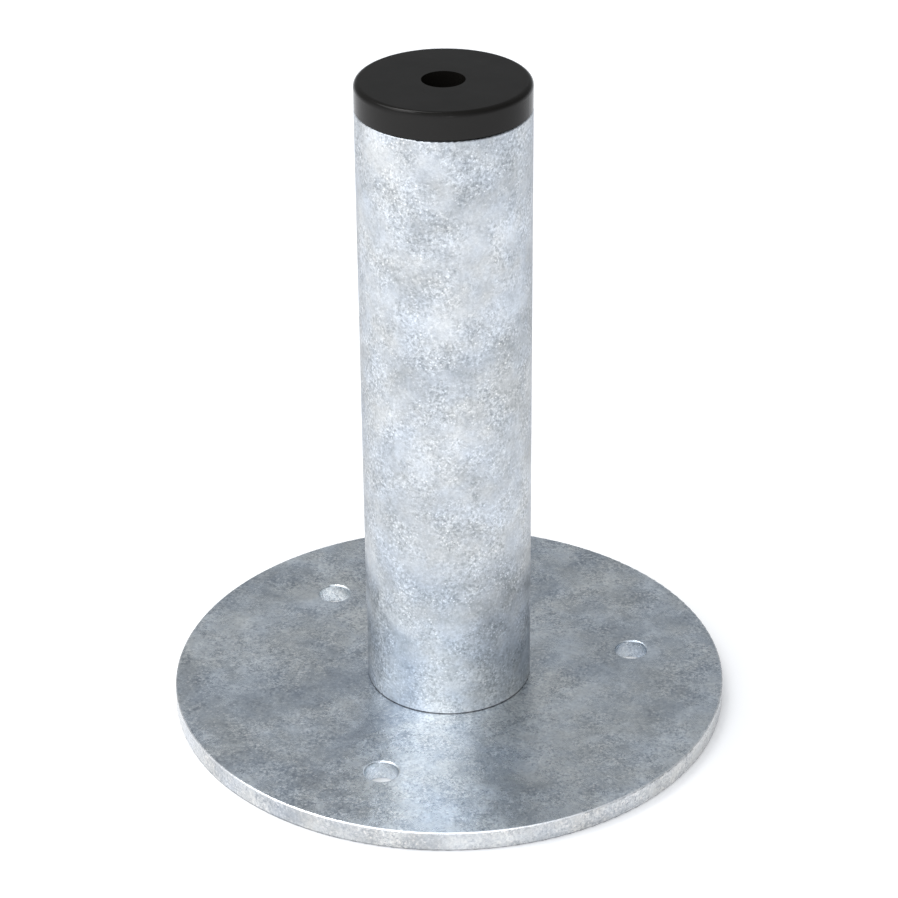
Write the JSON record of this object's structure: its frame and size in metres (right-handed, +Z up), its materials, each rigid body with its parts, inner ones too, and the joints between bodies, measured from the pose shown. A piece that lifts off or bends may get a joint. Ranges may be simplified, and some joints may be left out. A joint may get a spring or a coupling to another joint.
{
  "type": "retractable bollard",
  "caption": "Galvanised tube bollard on a round bolt-down base plate, with a black head cap on a sliding inner post that a key through the cap lifts and locks.",
  "frame": {"origin": "centre of the base plate's underside, on the ground", "axes": "+Z up along the bollard's axis; -Y towards one of the anchor holes, +X along one bolt"},
  "size_m": [0.3, 0.3, 0.3565],
  "materials": {
    "galvanised_plate": "hot-dip galvanised plate, dull and mottled",
    "galvanised_tube": "hot-dip galvanised tube, mottled",
    "galvanised_post": "galvanised sliding post, lightly polished by its bush",
    "cap_plastic": "black moulded nylon, satin",
    "bearing_plastic": "dark grey acetal, machined",
    "seal_rubber": "black rubber",
    "bearing_bronze": "cast bronze, turned",
    "zinc_plated_steel": "zinc plated steel, dull bright",
    "machined_steel": "machined and oiled steel",
    "spring_steel": "phosphated spring steel",
    "stainless_fastener": "stainless steel fastener"
  },
  "bodies": {
    "base": {"base_plate": "galvanised_plate", "sleeve_tube": "galvanised_tube", "sleeve_weld": "galvanised_tube", "bump_stop": "seal_rubber", "cage_foot_ring": "zinc_plated_steel", "cage_head_ring": "zinc_plated_steel", "latch_rail_right": "zinc_plated_steel", "latch_rail_left": "zinc_plated_steel", "cage_dowels": "stainless_fastener", "guide_bush": "bearing_plastic", "wiper_ring": "seal_rubber", "bush_clip": "spring_steel"},
    "post": {"post_tube": "galvanised_post", "head_cap": "cap_plastic", "cap_screws": "stainless_fastener", "head_plate": "zinc_plated_steel", "head_plate_weld": "zinc_plated_steel", "spindle_bush": "bearing_bronze", "foot_block": "zinc_plated_steel", "foot_cover": "zinc_plated_steel", "cover_screws": "stainless_fastener", "guide_pads": "bearing_plastic", "foot_screws": "stainless_fastener", "rod_bush": "bearing_plastic"},
    "spindle": {"key_spindle": "machined_steel", "key_cross_pin": "stainless_fastener", "thrust_washer": "bearing_bronze", "spindle_clip": "spring_steel", "lock_rod": "machined_steel", "coupling_pin": "stainless_fastener", "cam_plate": "machined_steel"},
    "latch_right": {"latch_bolt_right": "machined_steel", "latch_pin_right": "stainless_fastener"},
    "latch_left": {"latch_bolt_left": "machined_steel", "latch_pin_left": "stainless_fastener"}
  },
  "joints": [
    {"name": "post_lift", "type": "slide", "parent": "base", "child": "post", "axis": [0, 0, 1], "range_m": [0, 0.2]},
    {"name": "key_turn", "type": "hinge", "parent": "post", "child": "spindle", "pos_m": [0, 0, 0.3265], "axis": [0, 0, 1], "range_deg": [0, 90]},
    {"name": "bolt_throw_right", "type": "slide", "parent": "post", "child": "latch_right", "axis": [1, 0, 0], "range_m": [0, 0.0061]},
    {"name": "bolt_throw_left", "type": "slide", "parent": "post", "child": "latch_left", "axis": [-1, 0, 0], "range_m": [0, 0.0061]}
  ],
  "couplings": [
    {"joint": "bolt_throw_right", "follows": "key_turn", "m_per_rad": 0.0038197},
    {"joint": "bolt_throw_left", "follows": "key_turn", "m_per_rad": 0.0038197}
  ]
}
